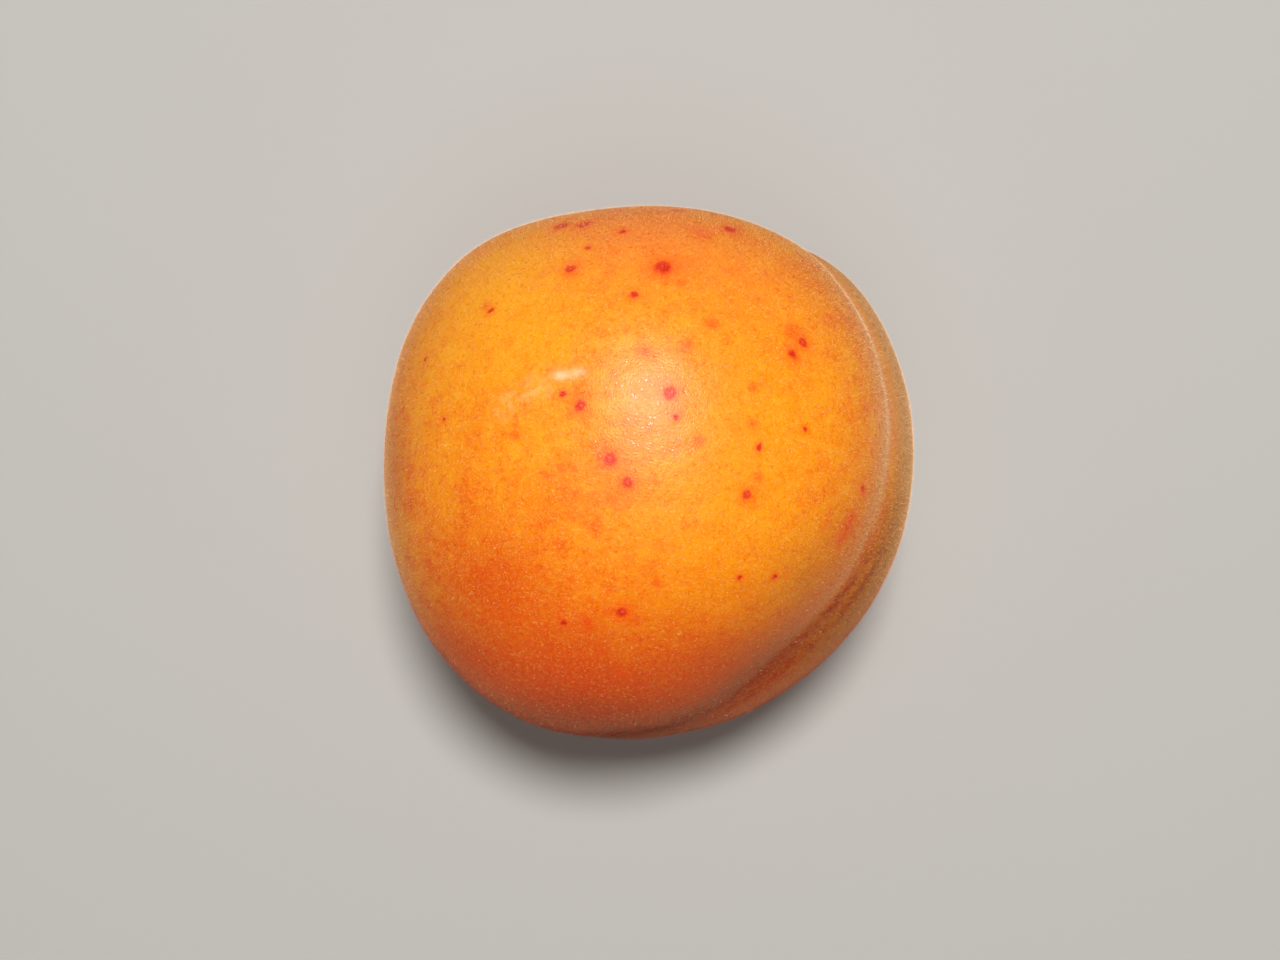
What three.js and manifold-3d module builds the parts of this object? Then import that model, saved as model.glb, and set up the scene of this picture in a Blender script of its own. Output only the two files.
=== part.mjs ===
// A ripe apricot, picked without its stalk and lying on one cheek, in millimetres, +Z up.
// The skin is one closed surface: a rounded box-like ovoid with the suture running down one side,
// the stalk cavity at one end and the small point of the tip at the other. Where the fruit rests
// on the table its skin is pressed into a small flat spot, and the origin lies on that flat's plane,
// under the middle of the fruit.
//
// The skin is worked out in the fruit's own frame: +Z to the stalk, +X to the suture side and +Y to
// the cheek that the fruit lies on. The last steps lay the fruit down.
import * as THREE from "three";
import { mergeVertices } from "three/addons/utils/BufferGeometryUtils.js";
import Module from "manifold-3d";

// Half sizes from the stalk axis, and along it from the widest ring.
const SUTURE_SIDE = 27.1;
const BACK_SIDE = 20.8;
const CHEEK = 23.8;
const STALK_END = 26.3;
const TIP_END = 24.9;

// The outline is a little squarer than an ellipse, wider towards the stalk, and its axis bows.
const SQUARENESS = 2.2;
const STALK_END_SPREAD = 0.049;
const AXIS_BOW = 0.6;

// Broad swellings (+) and hollows (-) of the flesh: which way each faces in the fruit's frame,
// how far it raises the skin, and how widely it spreads over a unit sphere.
const SWELLINGS = [
  { name: "shoulder by the suture", faces: [0.55, 0.25, 0.8], height: 1.05, spread: 0.4 },
  { name: "flat stalk end", faces: [-0.1, 0.0, 1.0], height: -2.6, spread: 0.45 },
  { name: "flat from suture to tip", faces: [0.72, -0.05, -0.7], height: -2.4, spread: 0.45 },
  { name: "full back", faces: [-0.93, 0.28, 0.0], height: 2.0, spread: 0.42 },
  { name: "full lower cheek", faces: [-0.2, 0.95, -0.1], height: 1.2, spread: 0.5 },
  { name: "crown of the upper cheek", faces: [0.44, -0.84, 0.32], height: 0.9, spread: 0.45 },
  { name: "upper cheek's slope to the tip", faces: [0.39, -0.64, -0.66], height: -0.7, spread: 0.45 },
];

// The suture: a wide shallow valley with a narrow crease along its floor, a little off the middle.
const SUTURE_OFFSET = 1.3;
const VALLEY_DEPTH = 0.8;
const VALLEY_HALF_WIDTH = 6.5;
const CREASE_DEPTH = 0.5;
const CREASE_HALF_WIDTH = 1.4;
const SUTURE_AT_MIDDLE = 0.8; // share of those depths at the widest ring
const SUTURE_GAIN = 0.2; // more than that share at the stalk, and less at the tip
const SUTURE_FADES_FROM = -1.0; // along +X, so that the suture stays on its own side
const SUTURE_FULL_AT = 5.0;

// The stalk cavity and the tip, a dimple with a small point in it.
const CAVITY_DEPTH = 4.4;
const CAVITY_HALF_WIDTH = 4.3;
const TIP_DIMPLE_DEPTH = 0.6;
const TIP_DIMPLE_HALF_WIDTH = 3.0;
const TIP_POINT_HEIGHT = 0.5;
const TIP_POINT_HALF_WIDTH = 0.9;
const END_FADE = 8.0; // the ends' shapes fade out this far from the widest ring

// How the fruit lies, in degrees, and how much of its lowest skin the table flattens.
const SUTURE_RAISED = 29.1;
const STALK_DIPS = 9.9;
const TURNED = -3.3;
const FLAT_DEPTH = 0.65;

// The net of meridians and rings that carries the skin. Both crowd together where the shape is
// finest: the meridians towards the suture, and the rings towards the two ends.
const MERIDIANS = 72;
const RINGS = 48;
const MERIDIAN_CROWDING = 0.55;
const RING_CROWDING = 0.4;

const SKIN = { color: 0xf58a1f, roughness: 0.55, metalness: 0 };

const smoothStep = THREE.MathUtils.smoothstep;
const bell = (distance, halfWidth) => Math.exp(-((distance / halfWidth) ** 2));
// Halfway from low to high at 0, and at either end when t is -1 or 1.
const between = (low, high, t) => low + (high - low) * (0.5 + 0.5 * t);

// The plain ovoid's radius along a unit direction, with the swellings.
function fleshRadius(facing) {
  const width = between(BACK_SIDE, SUTURE_SIDE, facing.x);
  const length = between(TIP_END, STALK_END, facing.z);
  const sum =
    Math.abs(facing.x / width) ** SQUARENESS +
    Math.abs(facing.y / CHEEK) ** SQUARENESS +
    Math.abs(facing.z / length) ** SQUARENESS;
  let radius = sum ** (-1 / SQUARENESS);
  for (const { faces, height, spread } of SWELLINGS) {
    const nearness = facing.dot(new THREE.Vector3(...faces).normalize());
    radius += height * Math.exp((-2 * (1 - nearness)) / spread ** 2);
  }
  return radius;
}

// Presses the suture's valley and crease into a point of the skin.
function pressSuture(point, along) {
  const across = point.y - SUTURE_OFFSET;
  const share =
    smoothStep(point.x, SUTURE_FADES_FROM, SUTURE_FULL_AT) *
    (SUTURE_AT_MIDDLE + SUTURE_GAIN * THREE.MathUtils.clamp(along, -1, 1));
  const depth =
    VALLEY_DEPTH * bell(across, VALLEY_HALF_WIDTH) + CREASE_DEPTH * bell(across, CREASE_HALF_WIDTH);
  point.multiplyScalar(1 - (share * depth) / point.length());
}

// Sinks the stalk cavity, and shapes the tip.
function shapeEnds(point) {
  const fromAxis = Math.hypot(point.x, point.y);
  const atStalk = smoothStep(point.z, 0, END_FADE);
  const atTip = smoothStep(-point.z, 0, END_FADE);
  point.z -= atStalk * CAVITY_DEPTH * bell(fromAxis, CAVITY_HALF_WIDTH);
  point.z += atTip * TIP_DIMPLE_DEPTH * bell(fromAxis, TIP_DIMPLE_HALF_WIDTH);
  point.z -= atTip * TIP_POINT_HEIGHT * bell(fromAxis, TIP_POINT_HALF_WIDTH);
}

// The skin's point along a unit direction, in the fruit's own frame.
function skinPoint(facing) {
  const point = facing.clone().multiplyScalar(fleshRadius(facing));
  const along = point.z / between(TIP_END, STALK_END, facing.z);
  const spread = 1 + STALK_END_SPREAD * along;
  point.x = point.x * spread + AXIS_BOW * along ** 2;
  point.y *= spread;
  pressSuture(point, along);
  shapeEnds(point);
  return point;
}

// The closed skin, on a sphere's net turned so that its poles lie on Z and its seam on -X.
function skinGeometry() {
  const sphere = new THREE.SphereGeometry(1, MERIDIANS, RINGS).rotateX(Math.PI / 2);
  const geometry = mergedByPosition(sphere);
  const net = geometry.getAttribute("position");
  const facing = new THREE.Vector3();
  for (let i = 0; i < net.count; i++) {
    const evenAngle = Math.atan2(net.getY(i), net.getX(i));
    const evenPolar = Math.acos(THREE.MathUtils.clamp(net.getZ(i), -1, 1));
    const angle = evenAngle - MERIDIAN_CROWDING * Math.sin(evenAngle);
    const polar = evenPolar - (RING_CROWDING / 2) * Math.sin(2 * evenPolar);
    facing.set(Math.sin(polar) * Math.cos(angle), Math.sin(polar) * Math.sin(angle), Math.cos(polar));
    net.setXYZ(i, ...skinPoint(facing));
  }
  return geometry;
}

// Lays the fruit down on its +Y cheek: the stalk axis level along +Y, then rolled, dipped and turned.
function layingDown() {
  const degrees = THREE.MathUtils.degToRad;
  return new THREE.Matrix4()
    .makeRotationZ(degrees(TURNED))
    .multiply(new THREE.Matrix4().makeRotationX(degrees(-STALK_DIPS)))
    .multiply(new THREE.Matrix4().makeRotationY(degrees(-SUTURE_RAISED)))
    .multiply(new THREE.Matrix4().makeRotationX(degrees(-90)));
}

// Cuts away what the table flattens, and puts the origin on the flat's plane under the middle.
function restedOnTable(geometry, wasm) {
  geometry.computeBoundingBox();
  const box = geometry.boundingBox;
  const middle = box.getCenter(new THREE.Vector3());
  geometry.translate(-middle.x, -middle.y, -box.min.z - FLAT_DEPTH);

  const tableSize = 4 * CHEEK;
  const table = new THREE.BoxGeometry(tableSize, tableSize, tableSize);
  table.translate(0, 0, -tableSize / 2);
  return geometryOf(solidOf(geometry, wasm).subtract(solidOf(table, wasm)));
}

// A copy of a geometry with one vertex at each place, so that its surface is closed.
function mergedByPosition(geometry) {
  const plain = geometry.clone();
  plain.deleteAttribute("normal");
  plain.deleteAttribute("uv");
  return mergeVertices(plain);
}

function solidOf(geometry, wasm) {
  const merged = mergedByPosition(geometry);
  return new wasm.Manifold(
    new wasm.Mesh({
      numProp: 3,
      vertProperties: merged.getAttribute("position").array,
      triVerts: new Uint32Array(merged.index.array),
    }),
  );
}

function geometryOf(solid) {
  const mesh = solid.getMesh();
  const geometry = new THREE.BufferGeometry();
  geometry.setAttribute("position", new THREE.BufferAttribute(mesh.vertProperties, mesh.numProp));
  geometry.setIndex(new THREE.BufferAttribute(mesh.triVerts, 1));
  geometry.computeVertexNormals();
  return geometry;
}

const wasm = await Module();
wasm.setup();

const skin = skinGeometry().applyMatrix4(layingDown());
const fruit = new THREE.Mesh(restedOnTable(skin, wasm), new THREE.MeshStandardMaterial(SKIN));
fruit.name = "apricot";

const apricot = new THREE.Group();
apricot.add(fruit);

export default apricot;
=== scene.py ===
"""A ripe apricot lying on one cheek, on a pale floor in soft light, seen from straight above.

The skin and the down on it are made with Geometry Nodes. The skin follows one rule, worked out in
the fruit's own frame, in millimetres: +Z to the stalk, +X to the suture side and +Y to the cheek that
the fruit lies on. The fruit is then laid down, and fitted into the box of the frame's apricot.
"""

import math

import bpy
from mathutils import Matrix, Vector


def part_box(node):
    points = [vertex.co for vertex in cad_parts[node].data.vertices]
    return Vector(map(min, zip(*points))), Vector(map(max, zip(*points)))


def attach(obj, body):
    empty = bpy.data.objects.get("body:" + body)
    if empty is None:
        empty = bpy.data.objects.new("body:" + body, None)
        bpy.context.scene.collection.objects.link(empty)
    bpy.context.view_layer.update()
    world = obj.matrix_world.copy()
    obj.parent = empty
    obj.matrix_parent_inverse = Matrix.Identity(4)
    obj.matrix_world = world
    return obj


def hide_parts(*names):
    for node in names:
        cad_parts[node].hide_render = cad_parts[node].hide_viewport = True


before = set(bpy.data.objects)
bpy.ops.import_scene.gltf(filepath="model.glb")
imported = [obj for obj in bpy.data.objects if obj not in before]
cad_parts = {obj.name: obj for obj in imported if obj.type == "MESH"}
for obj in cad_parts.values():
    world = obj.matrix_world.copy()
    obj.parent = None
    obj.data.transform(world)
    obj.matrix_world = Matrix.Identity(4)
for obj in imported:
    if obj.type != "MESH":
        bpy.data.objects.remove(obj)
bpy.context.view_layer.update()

MM = 0.001

# Half sizes, in millimetres, and the other numbers of the rule that the skin follows.
SKIN_SIZES = {
    "Suture side": 27.1,
    "Back side": 20.8,
    "Cheek": 23.8,
    "Stalk end": 26.3,
    "Tip end": 24.9,
    "Squareness": 2.2,
    "Stalk end spread": 0.049,
    "Axis bow": 0.6,
    "Suture offset": 1.3,
    "Suture wander": 0.3,
    "Valley depth": 0.8,
    "Valley half width": 6.5,
    "Crease depth": 0.5,
    "Crease half width": 2.0,
    "Second fold depth": 0.16,
    "Second fold offset": 1.9,
    "Second fold half width": 0.55,
    "Cavity depth": 4.4,
    "Cavity half width": 4.3,
    "Pucker depth": 0.14,
    "Stalk scar rim height": 0.35,
    "Stalk scar pit depth": 0.5,
    "Tip dimple depth": 0.6,
    "Tip dimple half width": 3.0,
    "Tip point height": 0.5,
    "Tip point half width": 0.9,
    "Ripple height": 0.12,
}

# Broad swellings (+) and hollows (-): where each faces, how high it is, and its spread.
SWELLINGS = (
    ((0.55, 0.25, 0.8), 1.05, 0.4),  # the shoulder by the suture
    ((-0.1, 0.0, 1.0), -2.6, 0.45),  # the flat stalk end
    ((0.72, -0.05, -0.7), -2.4, 0.45),  # the flat from the suture to the tip
    ((-0.93, 0.28, 0.0), 2.0, 0.42),  # the full back
    ((-0.2, 0.95, -0.1), 1.2, 0.5),  # the full lower cheek
    ((0.44, -0.84, 0.32), 0.9, 0.45),  # the crown of the upper cheek, towards the stalk
    ((0.39, -0.64, -0.66), -0.7, 0.45),  # the upper cheek's slope to the tip
)

# How the fruit lies, in degrees.
SUTURE_RAISED = 29.1
STALK_DIPS = 9.9
TURNED = -3.3

# How much of its depth the suture has at the widest ring, and how much more at the stalk.
SUTURE_AT_MIDDLE = 0.8
SUTURE_GAIN = 0.2

# Along +X, where the suture starts to show and where it has its full depth.
SUTURE_FADES_FROM = -1.0
SUTURE_FULL_AT = 5.0

# The shapes of the two ends fade out this far from the widest ring.
END_FADE = 8.0

# The second fold lies this far along the axis, as a share of the half length, and reaches this far.
SECOND_FOLD_ALONG = -0.62
SECOND_FOLD_REACH = 0.28

# How softly the skin turns into the flat spot that it rests on.
FLAT_BLEND = 0.25

# The net of meridians and rings that carries the skin, and how much both crowd together where the
# shape is finest.
MERIDIANS = 360
RINGS = 270
MERIDIAN_CROWDING = 0.55
RING_CROWDING = 0.4

# The skin's attribute that holds each point's place in the fruit's own frame.
OWN_PLACE = "own_place"


def srgb(code):
    """A colour as linear light, from its usual six-figure code."""
    parts = [int(code[i : i + 2], 16) / 255 for i in (0, 2, 4)]
    linear = [p / 12.92 if p <= 0.04045 else ((p + 0.055) / 1.055) ** 2.4 for p in parts]
    return (*linear, 1.0)


class Field:
    """A node's output. Arithmetic on it adds the Math or Vector Math nodes that work it out."""

    def __init__(self, tree, socket):
        self.tree = tree
        self.socket = socket

    def math(self, operation, *values):
        return self.tree.node("ShaderNodeMath", {"operation": operation}, values)

    def vector_math(self, operation, *values, output=0):
        settings = {"operation": operation}
        return self.tree.node("ShaderNodeVectorMath", settings, values, output)

    def __add__(self, other):
        return self.math("ADD", self, other)

    def __radd__(self, other):
        return self.math("ADD", other, self)

    def __sub__(self, other):
        return self.math("SUBTRACT", self, other)

    def __rsub__(self, other):
        return self.math("SUBTRACT", other, self)

    def __mul__(self, other):
        return self.math("MULTIPLY", self, other)

    def __rmul__(self, other):
        return self.math("MULTIPLY", other, self)

    def __truediv__(self, other):
        return self.math("DIVIDE", self, other)

    def __rtruediv__(self, other):
        return self.math("DIVIDE", other, self)

    def __pow__(self, other):
        return self.math("POWER", self, other)

    def __neg__(self):
        return self.math("MULTIPLY", self, -1.0)

    def __abs__(self):
        return self.math("ABSOLUTE", self)

    def sin(self):
        return self.math("SINE", self)

    def cos(self):
        return self.math("COSINE", self)

    def exp(self):
        return self.math("EXPONENT", self)

    def at_most(self, other):
        return self.math("MINIMUM", self, other)

    def at_least(self, other):
        return self.math("MAXIMUM", self, other)

    def dot(self, other):
        return self.vector_math("DOT_PRODUCT", self, other, output=1)

    def distance(self, other):
        return self.vector_math("DISTANCE", self, other, output=1)

    def length(self):
        return self.vector_math("LENGTH", self, output=1)

    def plus(self, other):
        return self.vector_math("ADD", self, other)

    def minus(self, other):
        return self.vector_math("SUBTRACT", self, other)

    def scaled(self, factor):
        return self.tree.node(
            "ShaderNodeVectorMath", {"operation": "SCALE"}, {"Vector": self, "Scale": factor}
        )

    def parts(self):
        """The x, y and z of a vector."""
        return [self.tree.node("ShaderNodeSeparateXYZ", {}, [self], i) for i in range(3)]

    def step(self, start, end):
        """0 up to start and 1 from end, with a smooth rise between them."""
        return self.tree.node(
            "ShaderNodeMapRange",
            {"interpolation_type": "SMOOTHSTEP"},
            {"Value": self, "From Min": start, "From Max": end},
        )

    def bell(self, half_width):
        """1 at 0, falling away on both sides."""
        return (-((self / half_width) ** 2.0)).exp()


class Tree:
    """A node tree under construction."""

    def __init__(self, node_tree):
        self.nodes = node_tree.nodes
        self.links = node_tree.links

    def node(self, kind, settings=None, values=(), output=0):
        """Adds a node, sets it up, feeds its sockets, and gives one of its outputs."""
        made = self.nodes.new(kind)
        for name, value in (settings or {}).items():
            setattr(made, name, value)
        given = values.items() if isinstance(values, dict) else enumerate(values)
        for key, value in given:
            if isinstance(value, Field):
                self.links.new(value.socket, made.inputs[key])
            else:
                made.inputs[key].default_value = value
        return Field(self, made.outputs[output]) if made.outputs else made

    def vector(self, x, y, z):
        return self.node("ShaderNodeCombineXYZ", {}, [x, y, z])

    def noise(self, place, scale, detail=2.0, roughness=0.5, output=0):
        """Noise from 0 to 1, with features about 1 / scale across."""
        return self.node(
            "ShaderNodeTexNoise",
            {},
            {"Vector": place, "Scale": scale, "Detail": detail, "Roughness": roughness},
            output,
        )

    def mix(self, share, first, second):
        """A colour on the way from the first to the second."""
        return self.node("ShaderNodeMix", {"data_type": "RGBA"}, {0: share, 6: first, 7: second}, 2)


def between(low, high, place):
    """Halfway from low to high at 0, and at either end when place is -1 or 1."""
    return low + (high - low) * (place * 0.5 + 0.5)


# ---------------------------------------------------------------------------------------------
# Geometry Nodes
# ---------------------------------------------------------------------------------------------


def geometry_tree(name, inputs):
    """A geometry tree with a geometry in and out, and its named inputs as fields."""
    group = bpy.data.node_groups.new(name, "GeometryNodeTree")
    group.interface.new_socket("Geometry", in_out="INPUT", socket_type="NodeSocketGeometry")
    group.interface.new_socket("Geometry", in_out="OUTPUT", socket_type="NodeSocketGeometry")
    kinds = {int: "NodeSocketInt", float: "NodeSocketFloat", Vector: "NodeSocketVector"}
    for label, value in inputs.items():
        kind = kinds.get(type(value), "NodeSocketMaterial")
        group.interface.new_socket(label, in_out="INPUT", socket_type=kind)
    tree = Tree(group)
    entrance = tree.node("NodeGroupInput").socket.node
    fields = {socket.name: Field(tree, socket) for socket in entrance.outputs if socket.name}
    return group, tree, fields


def finished_mesh(name, mesh, group, inputs):
    """A plain mesh object: what a geometry tree makes of a mesh, with its inputs set by identifier."""
    maker = bpy.data.objects.new(name + "_maker", mesh)
    bpy.context.scene.collection.objects.link(maker)
    modifier = maker.modifiers.new(name, "NODES")
    modifier.node_group = group
    for socket in group.interface.items_tree:
        if socket.in_out == "INPUT" and socket.name in inputs:
            modifier[socket.identifier] = inputs[socket.name]
    graph = bpy.context.evaluated_depsgraph_get()
    made = bpy.data.meshes.new_from_object(maker.evaluated_get(graph))
    maker.modifiers.remove(modifier)
    bpy.data.objects.remove(maker)
    made.name = name
    piece = bpy.data.objects.new(name, made)
    bpy.context.scene.collection.objects.link(piece)
    return piece


def crowded_direction(tree):
    """A sphere's directions, crowded towards the suture and towards the two ends."""
    x, y, z = tree.node("GeometryNodeInputPosition").parts()
    angle = tree.node("ShaderNodeMath", {"operation": "ARCTAN2"}, [y, x])
    polar = tree.node("ShaderNodeMath", {"operation": "ARCCOSINE"}, [z.at_least(-1.0).at_most(1.0)])
    angle = angle - angle.sin() * MERIDIAN_CROWDING
    polar = polar - (polar * 2.0).sin() * (RING_CROWDING / 2)
    return tree.vector(polar.sin() * angle.cos(), polar.sin() * angle.sin(), polar.cos())


def flesh_radius(facing, size):
    """The plain ovoid's radius along a direction, with the swellings, and its half length there."""
    x, y, z = facing.parts()
    width = between(size["Back side"], size["Suture side"], x)
    length = between(size["Tip end"], size["Stalk end"], z)
    power = size["Squareness"]
    total = abs(x / width) ** power + abs(y / size["Cheek"]) ** power + abs(z / length) ** power
    radius = total ** (-1.0 / power)
    for faces, height, spread in SWELLINGS:
        nearness = facing.dot(Vector(faces).normalized())
        radius = radius + ((nearness - 1.0) * (2.0 / spread**2)).exp() * height
    return radius, length


def suture_depth(x, y, along, size):
    """How deep the valley, the crease and a short second fold are pressed at a point of the skin."""
    across = y - size["Suture offset"] - (along * math.tau).sin() * size["Suture wander"]
    gain = SUTURE_GAIN * along.at_most(1.0).at_least(-1.0)
    share = x.step(SUTURE_FADES_FROM, SUTURE_FULL_AT) * (SUTURE_AT_MIDDLE + gain)
    valley = size["Valley depth"] * across.bell(size["Valley half width"])
    crease = size["Crease depth"] * across.bell(size["Crease half width"])
    beside = (across - size["Second fold offset"]).bell(size["Second fold half width"])
    here = (along - SECOND_FOLD_ALONG).bell(SECOND_FOLD_REACH)
    second_fold = size["Second fold depth"] * beside * here
    return share * (valley + crease + second_fold)


def shaped_ends(tree, x, y, z, size):
    """Sinks the stalk cavity, puckered round the scar that the stalk left, and shapes the tip."""
    from_axis = tree.vector(x, y, 0.0).length()
    angle = tree.node("ShaderNodeMath", {"operation": "ARCTAN2"}, [y, x])
    folds = (angle * 9.0 + (angle * 4.0).sin()).sin()
    pucker = folds * size["Pucker depth"] * (from_axis - 3.6).bell(1.6)
    scar_rim = size["Stalk scar rim height"] * (from_axis - 1.5).bell(0.45)
    scar_pit = size["Stalk scar pit depth"] * from_axis.bell(0.9)
    cavity = size["Cavity depth"] * from_axis.bell(size["Cavity half width"])
    stalk_end = z.step(0.0, END_FADE) * (cavity - (scar_rim - scar_pit) - pucker)
    dimple = size["Tip dimple depth"] * from_axis.bell(size["Tip dimple half width"])
    point = size["Tip point height"] * from_axis.bell(size["Tip point half width"])
    tip = (-z).step(0.0, END_FADE) * (dimple - point)
    return tree.vector(x, y, z - stalk_end + tip)


def skin_place(tree, size):
    """Where the skin lies along each of a sphere's directions, in the fruit's own frame."""
    facing = crowded_direction(tree)
    radius, length = flesh_radius(facing, size)
    ripple = tree.noise(facing, 3.5, 3.0, 0.45) - 0.5
    x, y, z = facing.scaled(radius + ripple * size["Ripple height"] * 2.0).parts()
    along = z / length
    spread = along * size["Stalk end spread"] + 1.0
    x = x * spread + size["Axis bow"] * along * along
    y = y * spread
    whole = tree.vector(x, y, z)
    pressed = whole.scaled(1.0 - suture_depth(x, y, along, size) / whole.length())
    return shaped_ends(tree, *pressed.parts(), size)


def lying():
    """The turn that lays the fruit down from its own frame: first upright, then on its cheek."""
    turned = Matrix.Rotation(math.radians(TURNED), 3, "Z")
    dipped = Matrix.Rotation(math.radians(-STALK_DIPS), 3, "X")
    raised = Matrix.Rotation(math.radians(-SUTURE_RAISED), 3, "Y")
    level = Matrix.Rotation(math.radians(-90), 3, "X")
    return turned @ dipped @ raised @ level


def make_skin(material):
    """The fruit's skin, as one closed mesh that fills the frame's box and is flat where it rests."""
    low, high = (Vector(corner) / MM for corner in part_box("apricot"))
    inputs = dict(SKIN_SIZES, **{"Lowest corner": low, "Highest corner": high, "Material": material})
    group, tree, size = geometry_tree("apricot_skin", inputs)
    sphere = tree.node("GeometryNodeMeshUVSphere", {}, [MERIDIANS, RINGS, 1.0])

    own = skin_place(tree, size)
    kept = {"Geometry": sphere, "Name": OWN_PLACE, "Value": own}
    body = tree.node("GeometryNodeStoreNamedAttribute", {"data_type": "FLOAT_VECTOR"}, kept)
    laid = tree.vector(*(own.dot(Vector(row)) for row in lying()))
    body = tree.node("GeometryNodeSetPosition", {}, {"Geometry": body, "Position": laid})

    # The middles of the two boxes meet on X and Y, and their tops on Z.
    own_low = tree.node("GeometryNodeBoundBox", {}, [body], 1)
    own_high = tree.node("GeometryNodeBoundBox", {}, [body], 2)
    middle_shift = size["Lowest corner"].plus(size["Highest corner"]).minus(own_low.plus(own_high))
    top_shift = size["Highest corner"].minus(own_high)
    shift_x, shift_y, _ = middle_shift.scaled(0.5).parts()
    place = tree.node("GeometryNodeInputPosition")
    shifted = place.plus(tree.vector(shift_x, shift_y, top_shift.parts()[2]))
    x, y, z = shifted.parts()
    floor = size["Lowest corner"].parts()[2]
    rested = tree.node("ShaderNodeMath", {"operation": "SMOOTH_MAX"}, [z, floor, FLAT_BLEND])
    in_metres = tree.vector(x, y, rested).scaled(MM)
    body = tree.node("GeometryNodeSetPosition", {}, {"Geometry": body, "Position": in_metres})

    body = tree.node("GeometryNodeSetShadeSmooth", {}, {"Geometry": body})
    body = tree.node("GeometryNodeSetMaterial", {}, {"Geometry": body, "Material": size["Material"]})
    tree.node("NodeGroupOutput", {}, [body])
    return finished_mesh("apricot_skin", bpy.data.meshes.new("sphere"), group, inputs)


# ---------------------------------------------------------------------------------------------
# The down
# ---------------------------------------------------------------------------------------------

# Short fine hairs all over, and among them some that are thicker, lie flatter and catch the light.
# Lean is how far a hair may turn from the skin's own direction. Lengths and widths are millimetres.
FINE_DOWN = {
    "Hairs per square millimetre": 5.4,
    "Hair length": 0.27,
    "Hair width": 0.011,
    "Lean": 0.9,
}
BRIGHT_DOWN = {
    "Hairs per square millimetre": 0.6,
    "Hair length": 0.3,
    "Hair width": 0.02,
    "Lean": 1.8,
}

# The down is scattered in several coats, so that no piece is too large.
FINE_COATS = 4

# The shortest and the longest hair, as shares of the usual length.
SHORTEST = 0.45
LONGEST = 1.35
LENGTH_SEED = 7

# Hairs start this far above the floor, in millimetres.
LOWEST_HAIR = 0.8


def make_down(skin, seed, sizes, material):
    """One coat of short hairs over the skin: each is a closed three-sided spike."""
    inputs = dict(sizes, Seed=seed, Material=material)
    group, tree, size = geometry_tree(f"apricot_down_{seed}", inputs)
    place = tree.node("GeometryNodeInputPosition")
    height = place.parts()[2]
    above = [height, LOWEST_HAIR * MM]
    off_floor = tree.node("FunctionNodeCompare", {"operation": "GREATER_THAN"}, above)
    density = size["Hairs per square millimetre"] / MM**2
    scatter = {
        "Mesh": size["Geometry"],
        "Selection": off_floor,
        "Density": density,
        "Seed": size["Seed"],
    }
    points = tree.node("GeometryNodeDistributePointsOnFaces", {}, scatter)
    normal = Field(tree, points.socket.node.outputs["Normal"])

    spike = {
        "Vertices": 3,
        "Radius Top": 0.0,
        "Radius Bottom": size["Hair width"] * (0.5 * MM),
        "Depth": size["Hair length"] * MM,
    }
    hair = tree.node("GeometryNodeMeshCone", {}, spike)

    limits = [Vector((-1, -1, -1)), Vector((1, 1, 1))]
    wander = tree.node("FunctionNodeRandomValue", {"data_type": "FLOAT_VECTOR"}, [*limits])
    lean = normal.plus(wander.scaled(size["Lean"]))
    turn = tree.node("FunctionNodeAlignRotationToVector", {"axis": "Z"}, {"Vector": lean})
    # Sockets 2, 3 and 8 are the least and the greatest number, and the seed.
    lengths = {2: SHORTEST, 3: LONGEST, 8: LENGTH_SEED}
    longer = tree.node("FunctionNodeRandomValue", {"data_type": "FLOAT"}, lengths, 1)
    stretch = tree.vector(1.0, 1.0, longer)
    coat = tree.node(
        "GeometryNodeInstanceOnPoints",
        {},
        {"Points": points, "Instance": hair, "Rotation": turn, "Scale": stretch},
    )
    coat = tree.node("GeometryNodeRealizeInstances", {}, [coat])
    coat = tree.node("GeometryNodeSetMaterial", {}, {"Geometry": coat, "Material": size["Material"]})
    tree.node("NodeGroupOutput", {}, [coat])
    return finished_mesh(f"apricot_down_{seed}", skin.data.copy(), group, inputs)


# ---------------------------------------------------------------------------------------------
# Materials
# ---------------------------------------------------------------------------------------------


def new_material(name):
    """An empty material and its node tree."""
    material = bpy.data.materials.new(name)
    material.use_nodes = True
    material.node_tree.nodes.clear()
    return material, Tree(material.node_tree)


def surface(tree, shader):
    """Makes a shader the material's surface."""
    tree.node("ShaderNodeOutputMaterial", {}, {"Surface": shader})


# Speckles on the side that shows most: millimetres to the right of and above the fruit's middle as
# seen from above, and the radius of each.
RINGED_SPECKLES = (
    (-3.5, 1.5, 0.5),
    (-2.0, -0.5, 0.42),
    (-6.0, 6.0, 0.42),
    (-7.0, 18.0, 0.42),
    (8.0, -1.5, 0.38),
    (13.0, 11.5, 0.4),
    (-2.5, -11.5, 0.42),
    (1.5, 7.0, 0.45),
    (-6.0, 22.5, 0.6),
    (-8.0, 22.5, 0.6),
)
SOLID_SPECKLES = (
    (1.0, 18.0, 0.75),
    (12.0, 10.5, 0.36),
    (7.0, 22.0, 0.6),
    (-1.5, 15.5, 0.34),
    (2.0, 5.0, 0.26),
    (-2.5, 21.5, 0.3),
    (-14.0, 14.5, 0.26),
    (9.0, 2.5, 0.26),
    (10.5, -8.5, 0.24),
    (7.5, -8.5, 0.22),
    (13.0, 4.0, 0.2),
    (18.5, -1.0, 0.24),
    (-7.5, 7.0, 0.26),
    (-7.5, -12.5, 0.22),
    (-20.0, 10.5, 0.2),
    (-18.0, 5.0, 0.18),
    (-5.5, 20.0, 0.22),
    (2.5, 24.0, 0.4),
)
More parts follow.
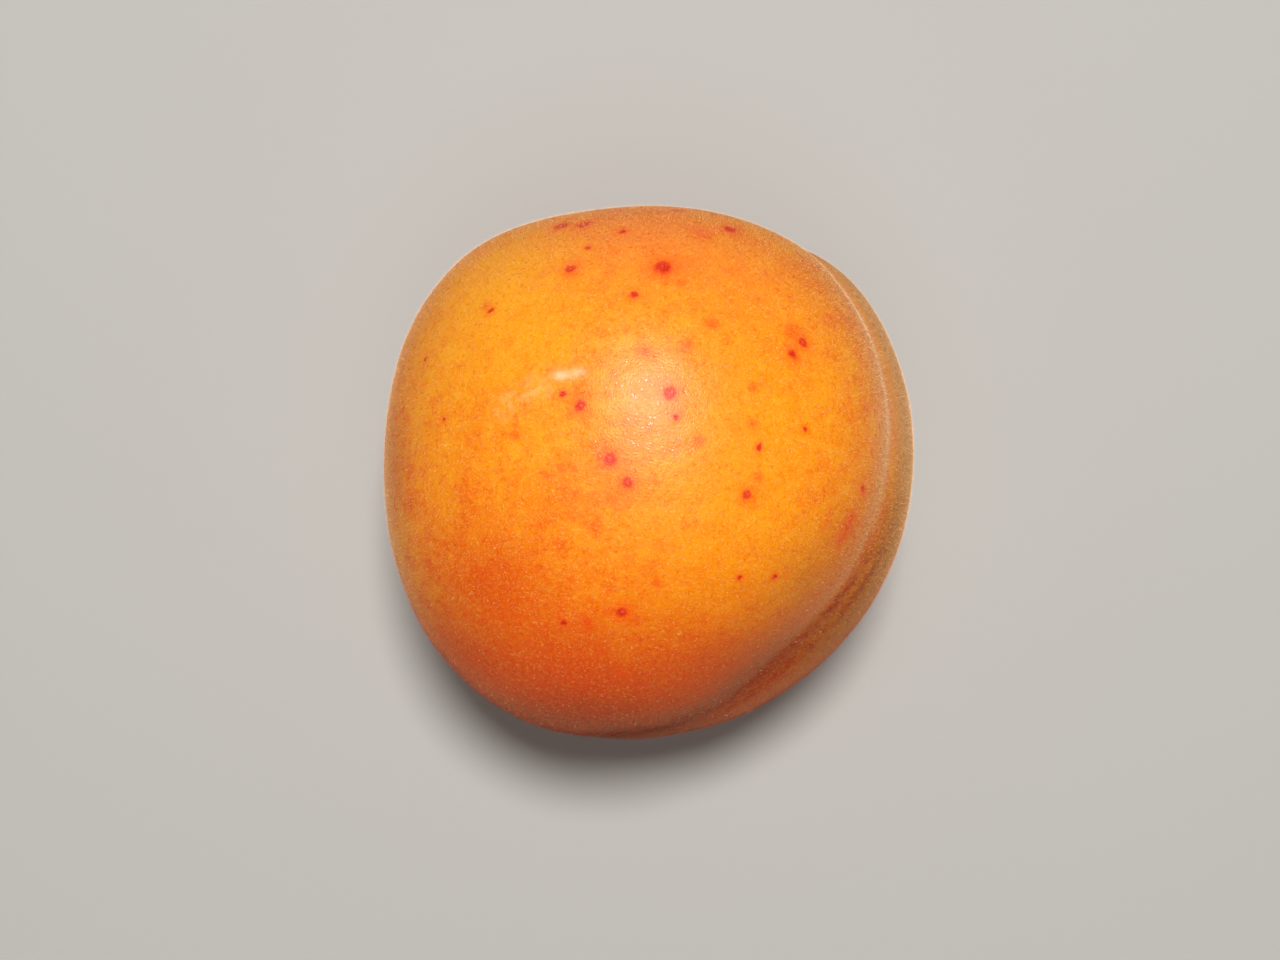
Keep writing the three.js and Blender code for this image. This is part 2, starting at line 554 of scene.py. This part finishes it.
FAINT_SPECKLES = (
    (2.5, 16.5, 0.36),
    (-5.5, -12.5, 0.6),
    (0.5, -9.0, 0.34),
    (8.5, 4.5, 0.36),
    (9.0, 0.0, 0.36),
    (5.0, 13.0, 0.5),
    (8.5, 7.5, 0.35),
    (-11.5, 3.5, 0.3),
    (-14.5, 15.0, 0.35),
    (3.0, 11.0, 0.45),
    (-0.5, 10.5, 0.5),
    (4.0, 3.0, 0.4),
    (-6.5, -1.5, 0.25),
    (-2.5, -17.0, 0.4),
    (4.5, 21.5, 0.8),
    (12.0, 12.5, 0.7),
    (-3.0, 24.0, 0.4),
)

# Soft patches of another orange: right and up as above, how far each reaches, its colour, and how
# much of that colour it has at its middle.
TINTS = (
    (-13.0, 16.5, 10.0, "ffac0c", 0.7),
    (8.0, 5.0, 11.0, "fc9a06", 0.6),
    (5.5, -7.0, 6.0, "f99804", 0.6),
    (-1.0, 22.0, 8.0, "f8802c", 0.75),
    (6.0, 17.0, 6.0, "f8841c", 0.5),
    (-14.0, -9.0, 5.5, "e04c00", 0.85),
    (-17.0, -16.0, 7.0, "d84400", 0.7),
    (-7.0, -19.0, 9.0, "f45200", 0.85),
    (5.0, -18.0, 9.0, "f05400", 0.7),
    (-24.0, 1.0, 4.5, "d8641c", 0.6),
    (14.5, -8.0, 5.0, "dc7c0c", 0.6),
)


# Heights in millimetres: one that is clear of the fruit, and the one where it is widest.
ABOVE_FRUIT = 100.0
EDGE_HEIGHT = 25.0


class Painter:
    """Builds up a colour, layer by layer."""

    def __init__(self, tree, colour):
        self.tree = tree
        self.colour = colour

    def add(self, share, code):
        """Covers a share of what is there with another colour."""
        self.colour = self.tree.mix(share, self.colour, srgb(code))


def on_skin(skin, right, up):
    """The point of the skin that lies straight under a place, in millimetres, or one at its edge."""
    start = Vector((right, up, ABOVE_FRUIT)) * MM
    hit, place, _, _ = skin.ray_cast(start, Vector((0.0, 0.0, -1.0)))
    return place / MM if hit else Vector((right, up, EDGE_HEIGHT))


def nearest(seen, skin, speckles):
    """How many of its own radii a point is from the nearest of some speckles."""
    shares = [seen.distance(on_skin(skin, right, up)) / radius for right, up, radius in speckles]
    least = shares[0]
    for share in shares[1:]:
        least = least.at_most(share)
    return least


def from_streak(seen, start, end):
    """The distance from a straight streak between two points."""
    way = end - start
    along = seen.minus(start).dot(way) / way.length_squared
    along = along.at_least(0.0).at_most(1.0)
    return seen.minus(start).distance(along.tree.vector(*way).scaled(along))


def wandering(tree, seen, scale, reach):
    """The same place, moved a little one way or another, so that edges come out uneven."""
    drift = tree.noise(seen, scale, 3.0, 0.6, output=1)
    return seen.plus(drift.minus((0.5, 0.5, 0.5)).scaled(reach * 2.0))


def paint_mottling(paint, tree, seen):
    """Broad and smaller clouds of redder and of yellower orange."""
    broad = tree.noise(seen, 0.16, 3.0)
    paint.add(broad.step(0.5, 0.7) * 0.45, "ee6904")
    paint.add((1.0 - broad).step(0.5, 0.7) * 0.4, "fea310")
    patch = tree.noise(seen, 0.6, 5.0, 0.7)
    paint.add(patch.step(0.5, 0.64) * 0.6, "f05604")
    paint.add((1.0 - patch).step(0.52, 0.66) * 0.42, "ffb01c")


def paint_grain(paint, tree, seen):
    """The finest flecks in the skin."""
    grain = tree.noise(seen, 2.6, 3.0, 0.75)
    paint.add(grain.step(0.48, 0.8) * 0.45, "d85004")
    paint.add((1.0 - grain).step(0.48, 0.8) * 0.4, "ffb414")
    paint.add(tree.noise(seen, 5.0, 1.0).step(0.58, 0.74) * 0.3, "ffc878")


def paint_tints(paint, tree, seen, skin):
    """The soft patches, with uneven edges."""
    uneven = wandering(tree, seen, 0.3, 3.0)
    for right, up, reach, code, strength in TINTS:
        paint.add(uneven.distance(on_skin(skin, right, up)).bell(reach) * strength, code)


# Along +X in the fruit's own frame, where the suture's colours start and where they are full.
SUTURE_SIDE = (0.0, 8.0)


def paint_suture(paint, tree, seen, own):
    """The crease is crimson towards the tip, and the lobe behind it is more yellow; towards the tip
    both carry painted shade, and the shoulder in front carries pale painted sheen.
    """
    x, y, z = own.parts()
    height = seen.parts()[2]
    wander = tree.noise(seen, 0.9, 2.0) - 0.5
    across = y - SKIN_SIZES["Suture offset"] + wander
    suture_side = x.step(*SUTURE_SIDE)
    to_tip = suture_side * (-z).step(-4.0, 14.0)
    to_stalk = suture_side * z.step(-8.0, 6.0)
    near = 1.0 - across.step(8.0, 15.0)
    behind = across.step(0.0, 3.0) * near
    patchy = tree.noise(seen, 0.7, 3.0, 0.65).step(0.4, 0.6)
    # Breaks up the painted sheen of the down on the shoulder.
    sheen_breakup = tree.noise(seen, 2.2, 4.0, 0.8).step(0.35, 0.65)

    # The lobe behind the crease: yellow-brown, paler to the stalk, and redder and darker to the tip,
    # where the darkening is partly painted shade.
    paint.add(across.step(-0.5, 2.5) * near * suture_side * 0.85, "c8781a")
    paint.add(behind * to_stalk * 0.6, "dca870")
    paint.add(behind * to_tip * 0.45, "9c601c")
    paint.add(behind * to_tip * patchy * 0.4, "a03c1c")
    paint.add(across.step(4.0, 9.0) * near * to_tip * 0.45, "a83c24")

    # The shoulder in front of the crease, and pale bands on it that are painted sheen: the down as it
    # shows edge-on in the light.
    paint.add((across + 3.0).bell(3.0) * to_tip * 0.5, "f06412")
    paint.add((across + 2.4).bell(2.4) * to_tip * (0.15 + 0.35 * sheen_breakup), "d8845a")
    paint.add((across + 2.4).bell(2.8) * to_stalk * (0.15 + 0.35 * sheen_breakup), "f4c090")
    paint.add((across + 0.6).bell(0.9) * to_stalk * 0.5, "f4d0ac")

    # The crease and the second fold, crimson darkened with painted shade, and the low side between
    # them and the floor, a red blush that deepens towards the floor with painted shade.
    paint.add((across - 0.6).bell(1.1) * to_tip * (0.6 + 0.3 * patchy), "94120c")
    paint.add((across - 2.6).bell(0.6) * to_tip * (0.3 + 0.5 * patchy), "901c0c")
    paint.add(to_tip * near * (1.0 - height.step(16.0, 26.0)) * 0.5, "b03418")


def paint_ends(paint, own):
    """Yellow down in the stalk cavity, with the brown scar that the stalk left, and a crimson tip
    whose darkest crimson, at its end and beside the suture, is partly painted shade.
    """
    x, y, z = own.parts()
    from_axis = own.tree.vector(x, y, 0.0).length()
    stalk = z.step(5.0, 12.0)
    paint.add(stalk * (1.0 - from_axis.step(2.5, 7.0)) * 0.6, "cf9a3c")
    paint.add(stalk * (1.0 - from_axis.step(1.6, 2.4)) * 0.9, "7a5230")
    paint.add(stalk * (1.0 - from_axis.step(0.4, 1.1)) * 0.8, "3a2415")
    paint.add((-z).step(13.0, 22.0) * 0.7, "d84414")
    # The darkest crimson at the very end of the tip: blush, and painted shade.
    paint.add((-z).step(20.5, 25.0) * 0.75, "8c1c10")
    # Dark crimson beside the suture towards the tip: blush, and painted shade.
    by_suture = (y - SKIN_SIZES["Suture offset"] + 0.5).bell(4.0) * x.step(*SUTURE_SIDE)
    paint.add(by_suture * (-z).step(11.0, 20.0) * 0.8, "74100c")
    tip = (-z).step(5.0, 12.0)
    paint.add(tip * from_axis.bell(0.6) * 0.85, "4a2c1a")


def paint_speckles(paint, tree, seen, skin):
    """The three kinds of speckles with their halos. Gives 1 on the ringed and the solid ones."""
    uneven = wandering(tree, seen, 1.6, 0.3)
    ringed = nearest(uneven, skin, RINGED_SPECKLES)
    solid = nearest(uneven, skin, SOLID_SPECKLES)
    faint = nearest(uneven, skin, FAINT_SPECKLES)
    paint.add(faint.bell(1.3) * 0.65, "f04c06")
    paint.add(ringed.bell(2.3) * 0.65, "fc4408")
    paint.add(solid.bell(2.2) * 0.6, "f84604")
    paint.add((1.0 - ringed.step(0.5, 1.5)) * 0.9, "d41400")
    paint.add(ringed.bell(0.4) * 0.5, "ff7444")
    paint.add((1.0 - solid.step(0.5, 1.5)) * 0.9, "d41400")
    return 1.0 - ringed.at_most(solid).step(0.9, 1.6)


def paint_scattered_speckles(paint, tree, seen):
    """More speckles, scattered over the low half of the fruit."""
    crowding = 0.3
    cells = {"Vector": wandering(tree, seen, 1.6, 0.2), "Scale": crowding}
    away = tree.node("ShaderNodeTexVoronoi", {}, cells) / crowding
    low = 1.0 - seen.parts()[2].step(15.0, 21.0)
    paint.add(away.bell(0.9) * low * 0.5, "f04c08")
    paint.add((1.0 - away.step(0.2, 0.5)) * low * 0.85, "cc1c08")


def paint_flush(paint, seen, skin):
    """A short red flush beside the suture."""
    flush = from_streak(seen, on_skin(skin, 16.5, -5.5), on_skin(skin, 17.5, -3.5))
    paint.add(flush.bell(0.8) * 0.7, "f2440c")


def paint_scar(paint, tree, seen, skin):
    """A small pale scar, with a fainter tail to its left."""
    patchy = tree.noise(seen, 1.1, 3.0).step(0.35, 0.65)
    mark = from_streak(seen, on_skin(skin, -7.8, 8.5), on_skin(skin, -6.0, 8.8))
    tail = from_streak(seen, on_skin(skin, -12.5, 6.0), on_skin(skin, -8.5, 8.3))
    paint.add(tail.bell(1.1) * patchy * 0.4, "ffbe80")
    paint.add(mark.bell(0.42) * (0.4 + 0.4 * patchy), "ffd4a0")


SKIN_ROUGHNESS = 0.36
BUMP_HEIGHT = 0.035  # millimetres
LIGHT_DEPTH = 1.2  # how far red light spreads under the skin, in millimetres


def paint_skin(material, skin):
    """The skin's colour, layer by layer, with its fine bumps and its sheen."""
    tree = Tree(material.node_tree)
    seen = tree.node("ShaderNodeTexCoord", {}, {}, 3).scaled(1.0 / MM)
    own = tree.node("ShaderNodeAttribute", {"attribute_name": OWN_PLACE}, {}, 1)
    paint = Painter(tree, srgb("f78a06"))
    paint_mottling(paint, tree, seen)
    paint_tints(paint, tree, seen, skin)
    paint_suture(paint, tree, seen, own)
    paint_ends(paint, own)
    paint_grain(paint, tree, seen)
    spots = paint_speckles(paint, tree, seen, skin)
    paint_scattered_speckles(paint, tree, seen)
    paint_flush(paint, seen, skin)
    paint_scar(paint, tree, seen, skin)

    grain = tree.noise(seen, 6.0, 1.0, 0.6)
    pores = tree.noise(seen, 0.9, 2.0, 0.5)
    glints = tree.noise(seen, 2.6, 1.0, 0.5).step(0.62, 0.7)
    relief = {"Strength": 1.0, "Distance": BUMP_HEIGHT * MM, "Height": grain + pores}
    bump = tree.node("ShaderNodeBump", {}, relief)
    shader = tree.node(
        "ShaderNodeBsdfPrincipled",
        {},
        {
            "Base Color": paint.colour,
            "Roughness": SKIN_ROUGHNESS + 0.1 * pores + 0.08 * spots - 0.2 * glints,
            "Subsurface Weight": 0.15,
            "Subsurface Radius": (1.0, 0.3, 0.08),
            "Subsurface Scale": LIGHT_DEPTH * MM,
            "Specular IOR Level": 0.4,
            "Sheen Weight": 0.35,
            "Sheen Roughness": 0.35,
            "Sheen Tint": srgb("ffc080"),
            "Normal": bump,
        },
    )
    surface(tree, shader)


PALE_DOWN = "fcd0a0"
DOWN_TURNS_PALE = (-17.0, -3.0)  # along +Y as the fruit lies, in millimetres


def down_material(name, tip_blush_and_shade_colour):
    """Pale hairs, which take on another colour towards the fruit's tip end, at -Y as it lies: the
    tip's blush, and painted shade on the side turned from the key light.
    """
    material, tree = new_material(name)
    along = tree.node("ShaderNodeTexCoord", {}, {}, 3).parts()[1] / MM
    colour = tree.mix(along.step(*DOWN_TURNS_PALE), srgb(tip_blush_and_shade_colour), srgb(PALE_DOWN))
    shader = tree.node("ShaderNodeBsdfPrincipled", {}, {"Base Color": colour, "Roughness": 0.5})
    surface(tree, shader)
    return material


def floor_material():
    material, tree = new_material("pale_floor")
    looks = {"Base Color": srgb("b9b6b0"), "Roughness": 0.9}
    surface(tree, tree.node("ShaderNodeBsdfPrincipled", {}, looks))
    return material


# ---------------------------------------------------------------------------------------------
# Stage
# ---------------------------------------------------------------------------------------------


FLOOR_HALF_SIZE = 3.0  # metres

# Each light's name, its place from the middle of the fruit and its size in metres, and its watts.
LIGHTS = (
    ("key", (0.02, 0.15, 0.58), 0.13, 3.88),
    ("fill", (0.0, -0.18, 0.56), 0.35, 0.45),
    ("glint", (-0.055, 0.18, 0.58), 0.1, 3.6),
)
ROOM_LIGHT = 0.07

# The camera looks straight down from here, in millimetres from the middle of the fruit.
CAMERA_PLACE = (-0.98, -0.25, 200.0)
CAMERA_LENS = 59.15
CAMERA_SENSOR = 36.0


def middle_of_fruit():
    low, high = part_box("apricot")
    return (Vector(low) + Vector(high)) / 2


def make_floor():
    """A wide pale floor, which shows in no reflection, so that it doesn't grey the skin."""
    half = FLOOR_HALF_SIZE
    mesh = bpy.data.meshes.new("floor")
    corners = [(-half, -half, 0), (half, -half, 0), (half, half, 0), (-half, half, 0)]
    mesh.from_pydata(corners, [], [(0, 1, 2, 3)])
    mesh.materials.append(floor_material())
    floor = bpy.data.objects.new("floor", mesh)
    bpy.context.scene.collection.objects.link(floor)
    floor.visible_glossy = False


def make_light(name, place, target, size, power):
    """A round soft light at a place, aimed at a target."""
    lamp = bpy.data.lights.new(name, "AREA")
    lamp.shape = "DISK"
    lamp.size = size
    lamp.energy = power
    light = bpy.data.objects.new(name, lamp)
    bpy.context.scene.collection.objects.link(light)
    light.location = place
    light.rotation_euler = (target - place).to_track_quat("-Z", "Y").to_euler()
    return light


def make_lights():
    """The key and the fill light the colours, and the glint alone gives the highlight."""
    middle = middle_of_fruit()
    for name, offset, size, power in LIGHTS:
        light = make_light(name, middle + Vector(offset), middle, size, power)
        light.visible_glossy = name == "glint"
        light.visible_diffuse = name != "glint"


def make_world():
    world = bpy.data.worlds.new("studio")
    world.use_nodes = True
    background = world.node_tree.nodes["Background"].inputs
    background["Color"].default_value = (1.0, 1.0, 1.0, 1.0)
    background["Strength"].default_value = ROOM_LIGHT
    bpy.context.scene.world = world


def make_camera():
    camera_data = bpy.data.cameras.new("camera")
    camera_data.sensor_width = CAMERA_SENSOR
    camera_data.lens = CAMERA_LENS
    camera_data.clip_start = 0.01
    camera = bpy.data.objects.new("camera", camera_data)
    bpy.context.scene.collection.objects.link(camera)
    camera.location = middle_of_fruit() + Vector(CAMERA_PLACE) * MM
    bpy.context.scene.camera = camera


def make_fruit():
    """The skin in place of the frame's apricot, and the coats of down on it."""
    material, _ = new_material("apricot_skin")
    skin = make_skin(material)
    paint_skin(material, skin)
    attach(skin, "root")
    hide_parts("apricot")
    # The fine hairs turn red towards the tip end: the tip's blush, and painted shade.
    fine = down_material("fine_down", "e8502c")
    bright = down_material("bright_down", "ffd0a0")
    coats = [(FINE_DOWN, fine)] * FINE_COATS + [(BRIGHT_DOWN, bright)]
    for seed, (sizes, down) in enumerate(coats, start=1):
        coat = make_down(skin, seed, sizes, down)
        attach(coat, "root")


def main():
    make_camera()
    make_world()
    make_floor()
    bpy.context.scene.view_settings.view_transform = "Standard"
    make_lights()
    make_fruit()


main()
